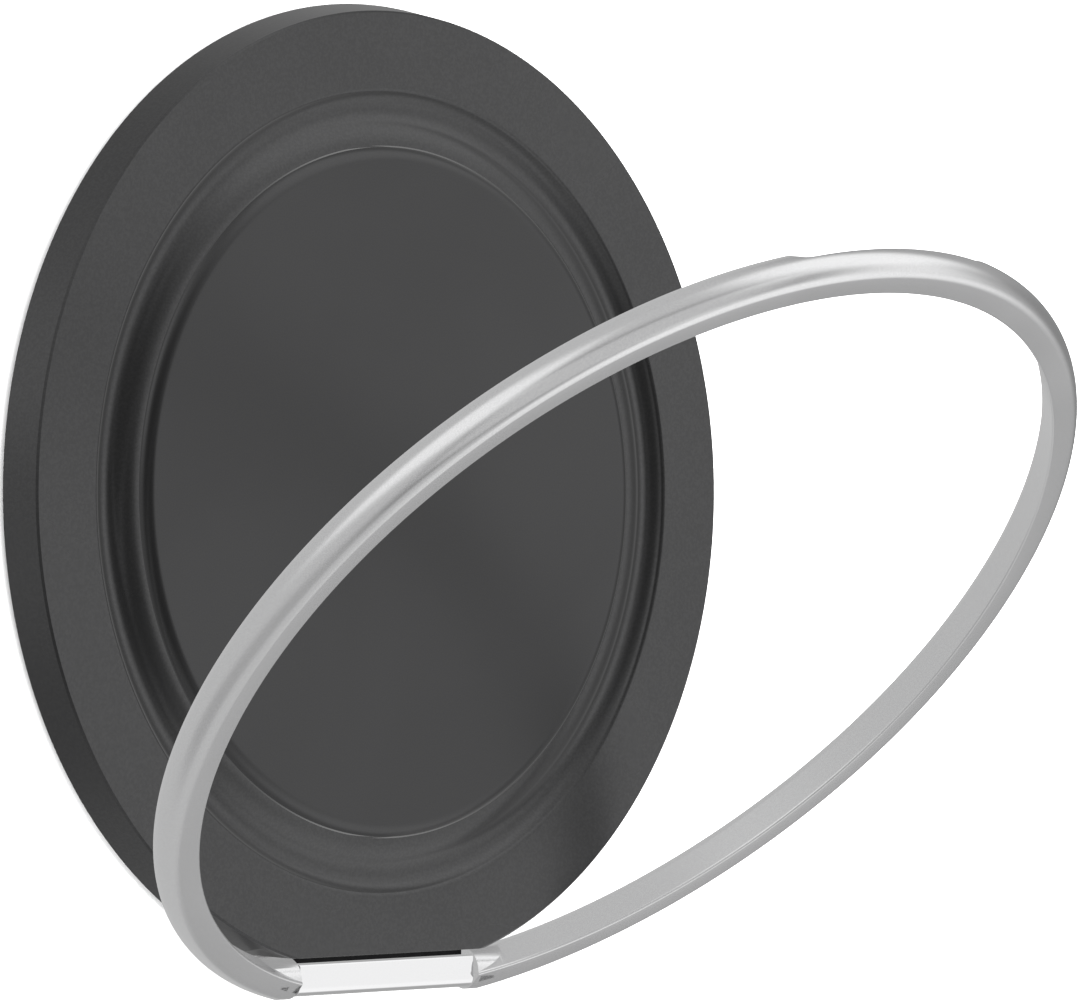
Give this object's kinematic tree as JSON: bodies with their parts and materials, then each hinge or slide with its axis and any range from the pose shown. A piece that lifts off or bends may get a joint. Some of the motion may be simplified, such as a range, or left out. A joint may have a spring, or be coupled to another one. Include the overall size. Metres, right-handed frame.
{
  "type": "magnetic phone grip",
  "caption": "Low round disc with a finger groove, a raised centre and hidden magnets, and a hinged ring that folds round its rim or stands open for a finger.",
  "frame": {"origin": "centre of the pad face that rests on the phone, on the axis of the disc", "axes": "+Z out of the disc's front face, +X along the hinge, +Y from the hinge to the far side of the disc"},
  "size_m": [0.061, 0.058, 0.0435],
  "materials": {
    "charcoal_metal": "fine bead-blasted, dark anodised",
    "charcoal_cap": "fine bead-blasted, dark anodised",
    "satin_steel": "smooth satin",
    "polished_steel": "bright polished",
    "pad_rubber": "matt silicone",
    "cover_plastic": "matt moulded",
    "carrier_plastic": "matt moulded",
    "adhesive": "adhesive film",
    "shield_steel": "plain rolled",
    "magnet_nickel": "nickel plated",
    "screw_steel": "plain",
    "pin_steel": "ground",
    "spring_brass": "plain spring strip"
  },
  "bodies": {
    "base": {"disc_housing": "charcoal_metal", "centre_cap": "charcoal_cap", "cap_film": "adhesive", "shield_plate": "shield_steel", "magnet_carrier": "carrier_plastic", "magnet_01": "magnet_nickel", "magnet_02": "magnet_nickel", "magnet_03": "magnet_nickel", "magnet_04": "magnet_nickel", "magnet_05": "magnet_nickel", "magnet_06": "magnet_nickel", "magnet_07": "magnet_nickel", "magnet_08": "magnet_nickel", "magnet_09": "magnet_nickel", "magnet_10": "magnet_nickel", "magnet_11": "magnet_nickel", "magnet_12": "magnet_nickel", "magnet_13": "magnet_nickel", "magnet_14": "magnet_nickel", "back_cover": "cover_plastic", "pad_film": "adhesive", "back_pad": "pad_rubber", "hinge_barrel": "polished_steel", "tongue_screws": "screw_steel", "friction_sleeve_left": "spring_brass", "friction_sleeve_right": "spring_brass"},
    "ring": {"grip_ring": "satin_steel", "hinge_pin_left": "pin_steel", "hinge_pin_right": "pin_steel"}
  },
  "joints": [
    {"name": "ring_hinge", "type": "hinge", "parent": "base", "child": "ring", "pos_m": [0, -0.02829, 0.00148], "axis": [1, 0, 0], "range_deg": [-45, 65]}
  ]
}
